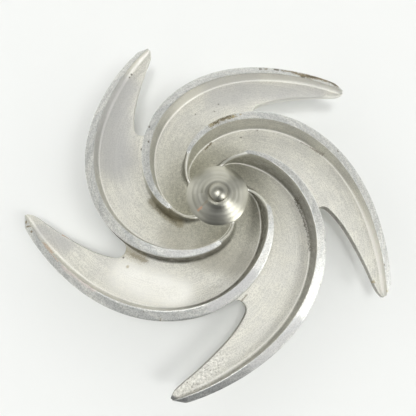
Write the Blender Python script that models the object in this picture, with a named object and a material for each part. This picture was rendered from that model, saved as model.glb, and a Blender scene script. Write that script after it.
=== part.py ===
"""Open impeller of a process pump: one stainless casting with five swept-back vanes.

The casting lies on its back, so +Z is the shaft axis on the suction side. The vanes wind
outwards clockwise as seen from there. Each vane stands on its own arm of the back plate, and the
plate is cut away between the arms. Behind the plate is a plain round hub with a blind bore for
the shaft.

The front is a grid in five like sectors. Its rows are arcs about the shaft axis. Its columns run
along a vane, over its foot, wall and top, and then across the plate to the next vane or to the
plate's free edge.

Run it with:  blender --background --python part.py
"""

import math

import bmesh
import bpy
import numpy as np

# Driving dimensions, in metres and degrees. Heights are over the back face of the hub.
VANES = 5
OUTER_RADIUS = 0.165
TIP_ANGLE = 40.85  # where the tip of the first vane points

BACK_FACE = 0.0215  # back of the plate
PLATE_RIM = 0.0260  # front of the plate at the outer radius
PLATE_RISE = 0.046  # rise of the plate's front towards the hub
FLARE_START = 0.055  # radius where the plate starts to flare up to the nose
FLARE_HEIGHT = 0.0088
FLARE_POWER = 2.2
TIP_TOP = 0.0304  # machined top of a vane at the outer radius
TOP_SLOPE = 0.1923  # rise of the machined tops towards the eye

NOSE_RADIUS = 0.0264
NOSE_TOP = 0.0528
NOSE_POWER = 1.15  # a cone whose side is only slightly crowned
HUB_RADIUS = 0.0320
HUB_DRAFT = 0.0020
HUB_FILLET = 0.0040
HUB_CHAMFER = 0.0015
BORE_RADIUS = 0.0130
BORE_DEPTH = 0.0330
BORE_CHAMFER = 0.0010

# The vane's middle line, as angles from its tip at a few radii, and its thickness there.
VANE_LINE = ((0.0264, 188.5), (0.034, 174.5), (0.0415, 159.0), (0.050, 142.2), (0.060, 124.8),
             (0.080, 96.5), (0.100, 70.7), (0.120, 45.1), (0.140, 22.6), (0.165, 2.2))
VANE_THICKNESS = ((0.0264, 0.0028), (0.0415, 0.0034), (0.050, 0.0045), (0.064, 0.0064),
                  (0.080, 0.0075), (0.100, 0.0081), (0.120, 0.0078), (0.140, 0.0066), (0.165, 0.0046))
EYE_RADIUS = 0.0415  # where the machined tops end and the leading edges begin
LEADING_CURVE = 1.25  # how hollow the leading edge is between the eye and the nose
WALL_DRAFT = 0.079
FOOT_FILLET = 0.0035
NARROWEST_FOOT = 0.62  # most of a narrow arm's width that the fillet may take

# The free edge of the plate, as angles from the tip, and the rounded root of the cut-out.
PLATE_EDGE = ((0.090, 30.4), (0.097, 27.4), (0.112, 20.1), (0.128, 12.0), (0.143, 5.7),
              (0.154, 1.75), (0.160, 0.2), (0.165, -0.3))
ROOT_RADIUS = 0.0076
FADE_LENGTH = 0.012  # over which the outer fillet runs out towards the root of the cut-out

# How finely the surfaces are divided.
INNER_ROWS = (0.0264, 0.0290, 0.0320, 0.0355, 0.0415, 0.0460, 0.0515, 0.0575, 0.0635, 0.0690,
              0.0740, 0.0780)
OUTER_ROWS = 16
SIDE_POINTS = 4  # across one side of a vane: its top edge and its foot fillet
PLATE_COLUMNS = 5
ROOT_COLUMNS = 6
HUB_SIDES = 60
NOSE_SHARES = (0.8, 0.6, 0.4, 0.2)

CENTRE_HEIGHT = 0.0272  # height of the centre of mass over the hub's back face


def smooth_curve(stations):
    """A natural cubic through the stations, as a function of the first value."""
    x, y = np.array(stations).T
    step = np.diff(x)
    system = np.eye(len(x))
    bends = np.zeros(len(x))
    for i in range(1, len(x) - 1):
        system[i, i - 1:i + 2] = step[i - 1], 2 * (step[i - 1] + step[i]), step[i]
        bends[i] = 6 * ((y[i + 1] - y[i]) / step[i] - (y[i] - y[i - 1]) / step[i - 1])
    bend = np.linalg.solve(system, bends)

    def value(at):
        i = int(np.clip(np.searchsorted(x, at) - 1, 0, len(step) - 1))
        a = (x[i + 1] - at) / step[i]
        b = (at - x[i]) / step[i]
        curve = ((a ** 3 - a) * bend[i] + (b ** 3 - b) * bend[i + 1]) * step[i] ** 2 / 6
        return a * y[i] + b * y[i + 1] + curve

    return value


vane_angle = smooth_curve(VANE_LINE)
vane_thickness = smooth_curve(VANE_THICKNESS)
plate_edge_angle = smooth_curve(PLATE_EDGE)


def polar(radius, degrees, height):
    """A point given by its radius, its angle and its height."""
    angle = math.radians(degrees)
    return np.array((radius * math.cos(angle), radius * math.sin(angle), height))


def polar_of(point):
    """Radius and angle of a point."""
    return math.hypot(point[0], point[1]), math.degrees(math.atan2(point[1], point[0]))


def turned(point, degrees):
    """The point turned about the shaft axis."""
    radius, angle = polar_of(point)
    return polar(radius, angle + degrees, point[2])


def plate_height(radius):
    """Front of the plate, with its flare up to the nose."""
    height = PLATE_RIM + PLATE_RISE * (OUTER_RADIUS - radius)
    if radius < FLARE_START:
        share = (FLARE_START - radius) / (FLARE_START - NOSE_RADIUS)
        height += FLARE_HEIGHT * share ** FLARE_POWER
    return height


def vane_top(radius):
    """Top of a vane: the machined slope, then the leading edge down to the nose."""
    if radius >= EYE_RADIUS:
        return TIP_TOP + TOP_SLOPE * (OUTER_RADIUS - radius)
    eye = TIP_TOP + TOP_SLOPE * (OUTER_RADIUS - EYE_RADIUS)
    share = max(0.0, (radius - NOSE_RADIUS) / (EYE_RADIUS - NOSE_RADIUS))
    nose = plate_height(NOSE_RADIUS)
    return nose + (eye - nose) * share ** LEADING_CURVE


def vane_slant(radius):
    """Sine of the angle between the vane and the circle that it crosses."""
    step = 1e-4
    swept = vane_angle(radius - step) - vane_angle(radius + step)
    return 2 * step / math.hypot(2 * step, math.radians(swept) * radius)


def beside_vane(radius, offset, height):
    """A point offset from the vane's middle line; a positive offset is on the outer side."""
    swing = offset / (radius * vane_slant(radius))
    return polar(radius, vane_angle(radius) + math.degrees(swing), height)


def wall_offset(radius, height):
    """Distance of a side wall from the middle line at a height, with the casting's draft."""
    return vane_thickness(radius) / 2 + WALL_DRAFT * (vane_top(radius) - height)


def fillet_rise(radius):
    """Height of the foot fillet, less where the vane is lower than a whole fillet."""
    return min(FOOT_FILLET, vane_top(radius) - plate_height(radius))


def foot_height(radius, offset):
    """Height of the fillet, or of the plate beyond it, beside a vane."""
    plate = plate_height(radius)
    rise = fillet_rise(radius)
    share = (offset - wall_offset(radius, plate + rise)) / FOOT_FILLET
    if share >= 1:
        return plate
    return plate + rise * (1 - math.sqrt(1 - (1 - max(0.0, share)) ** 2))


def fillet_turns():
    """The steps of a foot fillet, as angles from the wall round to the plate."""
    return [math.pi / 2 * i / (SIDE_POINTS - 2) for i in range(SIDE_POINTS - 1)]


def inner_side(radius, room):
    """Points down a vane's inner side. The fillet is squeezed where the arm has little room."""
    points = [beside_vane(radius, -vane_thickness(radius) / 2, vane_top(radius))]
    start = wall_offset(radius, plate_height(radius) + fillet_rise(radius))
    width = min(FOOT_FILLET, NARROWEST_FOOT * (room - start))
    for turn in fillet_turns():
        offset = start + width * (1 - math.cos(turn))
        points.append(beside_vane(radius, -offset, foot_height(radius, offset)))
    return points


def outer_side(radius, fillet):
    """Points up a vane's outer side. The fillet is 1 for a whole one and 0 for a bare wall."""
    points = []
    plate = plate_height(radius)
    rise = fillet_rise(radius)
    start = wall_offset(radius, plate + rise)
    for turn in reversed(fillet_turns()):
        bare_height = plate + rise * (1 - turn / (math.pi / 2))
        bare = wall_offset(radius, bare_height)
        offset = start + FOOT_FILLET * (1 - math.cos(turn))
        height = plate + rise * (1 - math.sin(turn))
        points.append(beside_vane(radius, bare + (offset - bare) * fillet,
                                  bare_height + (height - bare_height) * fillet))
    return points + [beside_vane(radius, vane_thickness(radius) / 2, vane_top(radius))]


def outer_foot(radius):
    """Foot of a vane's bare outer wall, at the level of the plate's front."""
    height = plate_height(radius)
    return beside_vane(radius, wall_offset(radius, height), height)


def plate_edge(radius):
    """A point of the plate's free edge."""
    return polar(radius, plate_edge_angle(radius), plate_height(radius))


def root_circle():
    """Centre of the cut-out's rounded root, and where it touches the next vane and the edge."""
    edge = [plate_edge(radius)[:2] for radius in np.linspace(0.090, 0.130, 400)]
    low, high = 0.080, 0.110
    for _ in range(40):
        row = (low + high) / 2
        foot = turned(outer_foot(row), -360 / VANES)[:2]
        ahead = turned(outer_foot(row + 1e-4), -360 / VANES)[:2]
        along = (ahead - foot) / np.linalg.norm(ahead - foot)
        centre = foot + ROOT_RADIUS * np.array((-along[1], along[0]))
        gap = min(np.linalg.norm(centre - point) for point in edge)
        if gap < ROOT_RADIUS:
            low = row
        else:
            high = row
    touch = min(edge, key=lambda point: np.linalg.norm(centre - point))
    return centre, row, touch


def root_arc(centre, start, end):
    """Points of the root from the plate's edge round to the next vane."""
    first = math.atan2(start[1] - centre[1], start[0] - centre[0])
    last = math.atan2(end[1] - centre[1], end[0] - centre[0])
    sweep = (last - first) % (2 * math.pi)
    if sweep > math.pi * 1.2:
        sweep -= 2 * math.pi
    points = []
    for i in range(1, ROOT_COLUMNS + 1):
        angle = first + sweep * i / ROOT_COLUMNS
        x, y = centre + ROOT_RADIUS * np.array((math.cos(angle), math.sin(angle)))
        points.append(np.array((x, y, plate_height(math.hypot(x, y)))))
    return points


def across_plate(start, end, count, radius):
    """Points across the plate from a foot to an end point, along an arc about the axis."""
    first_radius, first = polar_of(start)
    last_radius, last = polar_of(end)
    sweep = (first - last) % 360
    points = []
    for i in range(1, count + 1):
        here = first_radius + (last_radius - first_radius) * i / count
        angle = first - sweep * i / count
        behind = (vane_angle(radius) - angle) % 360
        offset = math.radians(behind) * radius * vane_slant(radius)
        fillet = foot_height(radius, offset) - plate_height(radius)
        points.append(polar(here, angle, plate_height(here) + fillet))
    return points


def inner_row(radius, root_row):
    """A row inside the cut-outs, from one vane to the next."""
    fillet = min(1.0, (root_row - radius) / FADE_LENGTH)
    outer = outer_side(radius, fillet)
    inner = inner_side(radius, FLARE_START)
    end = turned(outer[0], -360 / VANES)
    return outer + inner + across_plate(inner[-1], end, PLATE_COLUMNS + ROOT_COLUMNS, radius)


def outer_row(radius, edge):
    """A row across one arm, to its free edge."""
    behind = math.radians(vane_angle(radius) - polar_of(edge)[1])
    inner = inner_side(radius, behind * radius * vane_slant(radius))
    return outer_side(radius, 0.0) + inner + across_plate(inner[-1], edge, PLATE_COLUMNS, radius)


def front_rows():
    """All rows of one vane's sector, from the nose to the tip."""
    centre, root_row, touch = root_circle()
    rows = [inner_row(radius, root_row) for radius in INNER_ROWS]
    edge_start = np.linalg.norm(touch)
    for i in range(OUTER_ROWS + 1):
        share = i / OUTER_ROWS
        radius = root_row + (OUTER_RADIUS - root_row) * share
        rows.append(outer_row(radius, plate_edge(edge_start + (OUTER_RADIUS - edge_start) * share)))
    root = rows[len(INNER_ROWS)]
    root += root_arc(centre, root[-1][:2], turned(outer_foot(root_row), -360 / VANES)[:2])
    return rows


class Casting:
    """Collects the points and faces of all sectors in one mesh."""

    def __init__(self):
        self.mesh = bmesh.new()
        self.rows = front_rows()
        self.free = 2 * SIDE_POINTS - 1 + PLATE_COLUMNS  # the column on the plate's free edge
        self.width = self.free + ROOT_COLUMNS
        self.root = len(INNER_ROWS)
        self.tip = len(self.rows) - 1
        self.front = {}
        for sector in range(VANES):
            for j, row in enumerate(self.rows):
                for c, point in enumerate(row[:self.width]):
                    spot = turned(point, TIP_ANGLE + 360 / VANES * sector)
                    self.front[sector, j, c] = self.add(spot)

    def add(self, point):
        """A vertex, measured from the centre of mass."""
        return self.mesh.verts.new((point[0], point[1], point[2] - CENTRE_HEIGHT))

    def at(self, sector, row, column):
        """The last column of a sector is the first of the next one round."""
        if column == self.width:
            return self.front[(sector - 1) % VANES, row, 0]
        return self.front[sector, row, column]

    def skin(self):
        """Faces of the front, row by row."""
        for sector in range(VANES):
            for j in range(self.tip):
                last = self.width if j < self.root else self.free
                for c in range(last):
                    self.mesh.faces.new([self.at(sector, j, c), self.at(sector, j, c + 1),
                                         self.at(sector, j + 1, c + 1), self.at(sector, j + 1, c)])

    def outline(self, sector):
        """Steps round one arm: outer wall, tip, free edge and root."""
        steps = [(sector, j, 0) for j in range(self.root, self.tip)]
        steps += [(sector, self.tip, c) for c in range(self.free)]
        steps += [(sector, j, self.free) for j in range(self.tip, self.root, -1)]
        return steps + [(sector, self.root, c) for c in range(self.free, self.width)]

    def back_and_side(self):
        """The flat back of the plate and its edge. Returns the ring where the hub starts."""
        radius = HUB_RADIUS + HUB_DRAFT + HUB_FILLET
        steps = [self.outline(-sector % VANES) for sector in range(VANES)]
        back = {}
        for step in sum(steps, []):
            x, y, _ = self.front[step].co
            back[step] = self.add((x, y, BACK_FACE))
        order = sum(steps, [])
        for a, b in zip(order, order[1:] + order[:1]):
            self.mesh.faces.new([self.front[a], self.front[b], back[b], back[a]])
        first = polar_of(back[order[0]].co)[1]
        ring = [self.add(polar(radius, first - 360 * i / HUB_SIDES, BACK_FACE)) for i in range(HUB_SIDES)]
        sides = HUB_SIDES // VANES
        for i, arm in enumerate(steps):
            edge = [back[step] for step in arm] + [back[steps[(i + 1) % VANES][0]]]
            inner = [ring[(i * sides + k) % HUB_SIDES] for k in range(sides + 1)]
            self.mesh.faces.new(edge + inner[::-1])
        return ring

    def nose_ring(self):
        """The ring of vertices on the nose's edge."""
        return [self.front[-sector % VANES, 0, c] for sector in range(VANES) for c in range(self.width)]

    def turned_rings(self, ring, profile):
        """Turned surfaces from a ring inwards, closed by a flat disc."""
        for radius, height in profile:
            following = [self.add(polar(radius, polar_of(vert.co)[1], height)) for vert in ring]
            for i in range(len(ring)):
                k = (i + 1) % len(ring)
                self.mesh.faces.new([ring[i], ring[k], following[k], following[i]])
            ring = following
        self.mesh.faces.new(ring)


def nose_profile():
    """The turned nose, a blunt cone with a small flat centre."""
    edge = plate_height(NOSE_RADIUS)
    return [(NOSE_RADIUS * share, edge + (NOSE_TOP - edge) * (1 - share ** NOSE_POWER))
            for share in NOSE_SHARES]


def hub_profile():
    """The hub behind the plate, with its fillet, back face and blind bore."""
    profile = []
    foot = HUB_RADIUS + HUB_DRAFT
    for degrees in (30, 60, 90):
        angle = math.radians(degrees)
        profile.append((foot + HUB_FILLET * (1 - math.sin(angle)),
                        BACK_FACE - HUB_FILLET * (1 - math.cos(angle))))
    profile += [(HUB_RADIUS, HUB_CHAMFER), (HUB_RADIUS - HUB_CHAMFER, 0.0),
                (BORE_RADIUS + BORE_CHAMFER, 0.0), (BORE_RADIUS, BORE_CHAMFER),
                (BORE_RADIUS, BORE_DEPTH)]
    return profile


def steel():
    """Bare cast stainless steel."""
    material = bpy.data.materials.new("cast_stainless")
    material.use_nodes = True
    shader = material.node_tree.nodes["Principled BSDF"]
    shader.inputs["Base Color"].default_value = (0.47, 0.46, 0.43, 1.0)
    shader.inputs["Roughness"].default_value = 0.5
    shader.inputs["Metallic"].default_value = 0.9
    material.diffuse_color = (0.47, 0.46, 0.43, 1.0)
    return material


def build_casting():
    """The whole impeller, one closed body."""
    casting = Casting()
    casting.skin()
    casting.turned_rings(casting.nose_ring(), nose_profile())
    casting.turned_rings(casting.back_and_side(), hub_profile())
    bmesh.ops.recalc_face_normals(casting.mesh, faces=casting.mesh.faces[:])
    data = bpy.data.meshes.new("impeller_casting")
    casting.mesh.to_mesh(data)
    casting.mesh.free()
    data.shade_smooth()
    data.set_sharp_from_angle(angle=math.radians(30))
    data.materials.append(steel())
    body = bpy.data.objects.new("impeller_casting", data)
    bpy.context.scene.collection.objects.link(body)
    return body


def main():
    for old in list(bpy.data.objects):
        bpy.data.objects.remove(old, do_unlink=True)
    build_casting()


main()
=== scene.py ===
# %% [markdown]
# # An open pump impeller, dressed
# The part is one stainless casting: five swept-back vanes on a cut-away back plate, a turned nose
# in the middle and a hub behind. The solid model gives its sizes. This lesson makes the same
# casting again as one fine mesh, with rounded feet, rounded leading edges and broken edges, and
# then gives each kind of surface its own finish.

# %% Load the solid model
import math

import bmesh
import bpy
import numpy as np
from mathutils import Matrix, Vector


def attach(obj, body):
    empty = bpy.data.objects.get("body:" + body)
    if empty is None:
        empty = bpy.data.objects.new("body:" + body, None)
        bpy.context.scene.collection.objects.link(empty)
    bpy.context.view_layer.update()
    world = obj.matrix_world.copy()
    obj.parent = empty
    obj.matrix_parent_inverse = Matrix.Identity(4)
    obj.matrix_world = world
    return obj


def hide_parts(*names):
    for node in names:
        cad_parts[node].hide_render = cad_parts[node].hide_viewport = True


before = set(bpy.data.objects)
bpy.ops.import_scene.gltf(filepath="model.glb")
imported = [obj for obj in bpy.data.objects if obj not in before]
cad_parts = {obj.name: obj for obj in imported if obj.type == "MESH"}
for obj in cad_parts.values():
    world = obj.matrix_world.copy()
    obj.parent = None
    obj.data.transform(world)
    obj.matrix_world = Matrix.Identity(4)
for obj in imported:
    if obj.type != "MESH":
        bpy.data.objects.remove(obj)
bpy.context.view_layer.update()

# %% [markdown]
# ## The plan
# A casting like this is drawn from a few curves. Each vane follows a spiral that is given by its
# angle at a few radii, and a smooth cubic runs through those stations. The alternative, a Bezier
# curve drawn by hand, would be harder to divide evenly. All five vanes are the same, so one
# spiral, turned by 72 degrees each time, makes the whole plan.

# %% Sizes of the casting
VANES = 5
OUTER_RADIUS = 0.165  # all lengths are in metres
TIP_ANGLE = 40.85  # degrees, where the tip of the first vane points
SECTOR = 360 / VANES

BACK_FACE = 0.0215  # back of the plate; heights are over the back face of the hub
PLATE_RIM = 0.0260  # front of the plate at the tips
PLATE_RISE = 0.046  # per metre inwards
FLARE_START = 0.055  # from here inwards the plate flares up to the nose
FLARE_HEIGHT = 0.0088
FLARE_POWER = 2.2
TIP_TOP = 0.0304  # top of a vane at its tip
TOP_SLOPE = 0.1923  # per metre inwards
NOSE_RADIUS = 0.0264
EYE_RADIUS = 0.0415
CENTRE_HEIGHT = 0.0272  # the frame's origin over the hub's back face

# Angles of the vane's middle line, thicknesses of the vane and angles of the plate's free edge,
# each after its radius.
VANE_LINE = ((0.0264, 188.5), (0.034, 174.5), (0.0415, 159.0), (0.050, 142.2), (0.060, 124.8),
             (0.080, 96.5), (0.100, 70.7), (0.120, 45.1), (0.140, 22.6), (0.165, 2.2))
VANE_THICKNESS = ((0.0264, 0.0028), (0.0415, 0.0034), (0.050, 0.0045), (0.064, 0.0064),
                  (0.080, 0.0075), (0.100, 0.0081), (0.120, 0.0078), (0.140, 0.0066), (0.165, 0.0046))
PLATE_EDGE = ((0.090, 30.4), (0.097, 27.4), (0.112, 20.1), (0.128, 12.0), (0.143, 5.7),
              (0.154, 1.75), (0.160, 0.2), (0.165, -0.3))
WALL_DRAFT = 0.079  # sideways per metre down
FOOT_FILLET = 0.0018  # near the hub; it grows to TIP_FILLET along the vane
TIP_FILLET = 0.0026
FILLET_GROWS = (0.115, 0.140)
NARROWEST_FOOT = 0.62  # share of the room beside a wall that a fillet may take
LEADING_STEP = 0.0014  # length over which the turned flat gives way to the cast leading edge
LEADING_DROP = 0.0004  # of the ridge's top under the turned flat
LEADING_LEAN = 0.7  # share of the half width by which the outer side leans in at its top
OUTER_CORNER = 0.0004  # drop from a ridge's top to its corners
INNER_CORNER = 0.0010
RIDGE_FULLNESS = 0.6
ROOT_RADIUS = 0.0076
FADE_LENGTH = 0.012  # over which the outer fillet ends before the root
NEAR = 1e-4  # short step along a curve, to find its direction


# %% A smooth curve through a few stations
def smooth_curve(stations):
    """A natural cubic through the stations, as a function of the first value."""
    x, y = np.array(stations).T
    step = np.diff(x)
    system = np.eye(len(x))
    bends = np.zeros(len(x))
    for i in range(1, len(x) - 1):
        system[i, i - 1:i + 2] = step[i - 1], 2 * (step[i - 1] + step[i]), step[i]
        bends[i] = 6 * ((y[i + 1] - y[i]) / step[i] - (y[i] - y[i - 1]) / step[i - 1])
    bend = np.linalg.solve(system, bends)

    def value(at):
        i = int(np.clip(np.searchsorted(x, at) - 1, 0, len(step) - 1))
        a = (x[i + 1] - at) / step[i]
        b = (at - x[i]) / step[i]
        curve = ((a ** 3 - a) * bend[i] + (b ** 3 - b) * bend[i + 1]) * step[i] ** 2 / 6
        return a * y[i] + b * y[i + 1] + curve

    return value


vane_angle = smooth_curve(VANE_LINE)
vane_thickness = smooth_curve(VANE_THICKNESS)
plate_edge_angle = smooth_curve(PLATE_EDGE)
print("a vane sweeps", round(vane_angle(NOSE_RADIUS) - vane_angle(OUTER_RADIUS)), "degrees")


# %% Points in polar form
def polar(radius, degrees, height):
    """A point given by its radius, its angle and its height."""
    angle = math.radians(degrees)
    return np.array((radius * math.cos(angle), radius * math.sin(angle), height))


def polar_of(point):
    """Radius and angle of a point."""
    return math.hypot(point[0], point[1]), math.degrees(math.atan2(point[1], point[0]))


def turned(point, degrees):
    """The point turned about the shaft axis."""
    radius, angle = polar_of(point)
    return polar(radius, angle + degrees, point[2])


# %% [markdown]
# ## Heights
# Three surfaces decide every height. The front of the plate is a shallow cone that flares up to
# the nose. The tops of the vanes are turned on a lathe to a steeper cone, which this model keeps
# level inside the eye. There the vanes still have their cast leading edges: low ridges, sharp on
# the outer side and softer on the inner one, that run down to the nose. The turned flat ends
# bluntly where the cone meets the ridge, and a short smooth step joins the two.

# %% Height of the plate and of the vanes
LEADING_CURVE = 1.25  # above 1 the ridge sags between the eye and the nose
RIDGE_OVER_CONE = 0.6  # how fast the cast ridge would rise above the turned cone past the eye
EDGE_BREAK = 0.00014  # drop of the narrow break along the edges of the turned tops
RIDGE_ROOM = 0.5  # share of a low ridge's height that a drop may take, and a fillet's share
FILLET_ROOM = 0.8
LOWEST = 1e-6  # keeps a division safe where a wall has no height
UNDER_TOP = 0.00002  # with SHRINK it keeps the fine mesh inside the solid's box
SHRINK = 0.9997  # in plan; the solid's curves are made of short flats


def plate_height(radius):
    """Front of the plate, with its flare up to the nose."""
    height = PLATE_RIM + PLATE_RISE * (OUTER_RADIUS - radius)
    if radius < FLARE_START:
        share = (FLARE_START - radius) / (FLARE_START - NOSE_RADIUS)
        height += FLARE_HEIGHT * share ** FLARE_POWER
    return height


def turned_cone(radius):
    """The cone to which the vane tops are turned, level inside the eye."""
    return TIP_TOP + TOP_SLOPE * (OUTER_RADIUS - max(radius, EYE_RADIUS)) - UNDER_TOP


def cast_ridge(radius):
    """Top of the cast vane before turning."""
    if radius >= EYE_RADIUS:
        return turned_cone(EYE_RADIUS) + RIDGE_OVER_CONE * (radius - EYE_RADIUS)
    share = max(0.0, (radius - NOSE_RADIUS) / (EYE_RADIUS - NOSE_RADIUS))
    nose = plate_height(NOSE_RADIUS)
    return nose + (turned_cone(EYE_RADIUS) - nose) * share ** LEADING_CURVE


print("the walls are", round((turned_cone(0.06) - plate_height(0.06)) * 1000, 1), "mm high at 60 mm")

# %% [markdown]
# ## Across a vane
# Seen in section, a vane has a foot fillet, a wall with a few degrees of draft, a top, and the
# same again on the other side. Each row of the mesh is an arc about the shaft axis, so a distance
# square to the vane becomes a swing along that arc. The section is described once, and the rows
# only ask for it at their own radius.

# %% Distance and height beside a vane
def vane_slant(radius):
    """Sine of the angle between the vane and the circle that it crosses."""
    swept = vane_angle(radius - NEAR) - vane_angle(radius + NEAR)
    return 2 * NEAR / math.hypot(2 * NEAR, math.radians(swept) * radius)


def beside_vane(radius, offset, height):
    """A point offset from the vane's middle line; a positive offset is on the outer side."""
    swing = offset / (radius * vane_slant(radius))
    return polar(radius, vane_angle(radius) + math.degrees(swing), height)


def square_radius(radius, offset):
    """Radius of the middle line's point that lies square to a point beside it."""
    return radius - offset * math.sqrt(1 - vane_slant(radius) ** 2)


# %% Leading edge and top of a vane
def leading(radius, offset):
    """1 on the cast leading edge inside the eye and 0 where the top is turned."""
    share = (EYE_RADIUS - square_radius(radius, offset)) / LEADING_STEP + 0.5
    share = float(np.clip(share, 0, 1))
    return share * share * (3 - 2 * share)


def ridge_top(radius):
    """Top of the cast leading edge, a hair under the line that the turned flat would continue."""
    room = cast_ridge(radius) - plate_height(radius)
    return cast_ridge(radius) - min(LEADING_DROP, RIDGE_ROOM * room)


def ridge_drop(radius, side):
    """How far the corner of the cast ridge lies under its top; the outer corner is the sharp one."""
    room = RIDGE_ROOM * (cast_ridge(radius) - plate_height(radius))
    return min(OUTER_CORNER if side > 0 else INNER_CORNER, room)


def top_height(radius, turn):
    """Height of a column of the top. Its turn is 90 at the outer edge and -90 at the inner one."""
    across, fullness = math.sin(math.radians(turn)), math.cos(math.radians(turn)) ** RIDGE_FULLNESS
    ridge = ridge_top(radius) - ridge_drop(radius, across) * (1 - fullness)
    flat = turned_cone(radius) - (EDGE_BREAK if abs(turn) == 90 else 0.0)
    inside = leading(radius, vane_thickness(radius) / 2 * across)
    return min(flat, flat + (ridge - flat) * inside)


def wall_top(radius, side):
    """Height where a side wall ends: under the corner of the ridge, or under the broken edge."""
    return top_height(radius, 90 * side)


# %% Walls and foot fillets
def wall_offset(radius, height, side=-1):
    """Distance of a side wall from the middle line at a height."""
    half = vane_thickness(radius) / 2
    top = wall_top(radius, side)
    offset = half + WALL_DRAFT * max(0.0, top - height)
    if side > 0:
        plate = plate_height(radius)
        up = np.clip((height - plate) / max(top - plate, LOWEST), 0, 1)
        offset -= LEADING_LEAN * half * leading(radius, half) * up
    return offset


def between_radii(radius, start, end, first, last):
    """A size that changes evenly from first to last between two radii."""
    return first + (last - first) * np.clip((radius - start) / (end - start), 0, 1)


def foot_fillet(radius):
    """Radius of the foot fillet."""
    return between_radii(radius, *FILLET_GROWS, FOOT_FILLET, TIP_FILLET)


def fillet_rise(radius):
    """Height of the foot fillet, less where the vane is lower than a whole fillet."""
    room = min(wall_top(radius, 1), wall_top(radius, -1)) - plate_height(radius)
    return max(0.0, min(foot_fillet(radius), FILLET_ROOM * room))


def foot_height(radius, offset):
    """Height of the fillet, or of the plate beyond it, beside a vane."""
    plate = plate_height(radius)
    rise = fillet_rise(radius)
    share = (offset - wall_offset(radius, plate + rise)) / foot_fillet(radius)
    if share >= 1:
        return plate
    return plate + rise * (1 - math.sqrt(1 - (1 - max(0.0, share)) ** 2))


# %% [markdown]
# The columns are crowded where the surface turns: six steps round a fillet, nine across the top.
# The second column of the top lies just inside its edge, and the edge itself is a hair lower.
# That narrow break catches the light on the turned tops as a thin bright line.

# %% One row of points over a vane
FILLET_STEPS = 6
FILLET_TURNS = [math.pi / 2 * i / FILLET_STEPS for i in range(FILLET_STEPS + 1)]  # wall to plate
WALL_STEPS = 3
TOP_TURNS = (-90, -66, -45, -22, 0, 22, 45, 66, 90)


def top_points(radius):
    """Across the top, from the outer edge to the inner one."""
    half = vane_thickness(radius) / 2
    points = []
    for turn in TOP_TURNS[::-1]:
        offset = half * math.sin(math.radians(turn))
        lean = 1 - LEADING_LEAN * leading(radius, offset) if turn > 0 else 1.0
        points.append(beside_vane(radius, offset * lean, top_height(radius, turn)))
    return points


def wall_points(radius, side):
    """Down one wall, between the top's edge and the fillet."""
    high, low = wall_top(radius, side), plate_height(radius) + fillet_rise(radius)
    heights = [high + (low - high) * i / (WALL_STEPS + 1) for i in range(1, WALL_STEPS + 1)]
    return [beside_vane(radius, side * wall_offset(radius, height, side), height)
            for height in heights]


def inner_foot(radius, room):
    """The inner fillet, squeezed where the arm has little room beside the vane."""
    start = wall_offset(radius, plate_height(radius) + fillet_rise(radius))
    width = min(foot_fillet(radius), NARROWEST_FOOT * (room - start))
    offsets = [start + width * (1 - math.cos(turn)) for turn in FILLET_TURNS]
    return [beside_vane(radius, -offset, foot_height(radius, offset)) for offset in offsets]


def outer_foot(radius, fillet):
    """The outer fillet, from the plate up; at 0 it is a bare wall and at 1 a whole fillet."""
    plate = plate_height(radius)
    rise = fillet_rise(radius)
    start = wall_offset(radius, plate + rise, 1)
    points = []
    for turn in FILLET_TURNS[::-1]:
        bare_height = plate + rise * (1 - turn / (math.pi / 2))
        bare = wall_offset(radius, bare_height, 1)
        offset = start + foot_fillet(radius) * (1 - math.cos(turn))
        height = plate + rise * (1 - math.sin(turn))
        points.append(beside_vane(radius, bare + (offset - bare) * fillet,
                                  bare_height + (height - bare_height) * fillet))
    return points


def over_vane(radius, fillet, room):
    """A whole row over the vane, from the outer fillet's end to the inner one's."""
    return (outer_foot(radius, fillet) + wall_points(radius, 1)[::-1] + top_points(radius)
            + wall_points(radius, -1) + inner_foot(radius, room))


OVER_VANE = 2 * (FILLET_STEPS + 1) + 2 * WALL_STEPS + len(TOP_TURNS)
print("a row has", OVER_VANE, "points over the vane")


# %% [markdown]
# ## The cut-away plate
# Between two arms the plate is cut back to a rounded root that touches the next vane. The circle
# of that root is found by moving it along the vane until it also touches the arm's free edge. The
# free edge is rounded over, as a casting's edge is. So the flat of the plate ends a little inside
# the edge, and the round is added afterwards as a strip of its own.

# %% Free edge and root of the cut-out
EDGE_ROUND = 0.0005
TIP_ROUND = 0.0003
ROUND_FADES = (0.140, 0.160)  # radii between which the edge's round gets small towards the tip
ARC_FADES = 0.55  # share of the root's arc after which its round fades into the next vane
EDGE_SEARCH = (0.090, 0.130)  # radii between which the root meets the free edge
EDGE_SAMPLES = 400
ROW_SEARCH = (0.080, 0.110)  # radii between which it touches the next vane
HALVINGS = 40


def bare_foot(radius):
    """Foot of a vane's bare outer wall, at the level of the plate's front."""
    height = plate_height(radius)
    return beside_vane(radius, wall_offset(radius, height, 1), height)


def plate_edge(radius):
    """A point of the plate's free edge."""
    return polar(radius, plate_edge_angle(radius), plate_height(radius))


def edge_inward(radius):
    """The direction in plan from the free edge into the arm."""
    along = (plate_edge(radius + NEAR) - plate_edge(radius - NEAR))[:2]
    along /= np.linalg.norm(along)
    return np.array((-along[1], along[0], 0.0))


def edge_round(radius):
    """Radius of the round on the free edge."""
    return between_radii(radius, *ROUND_FADES, EDGE_ROUND, TIP_ROUND)


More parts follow.
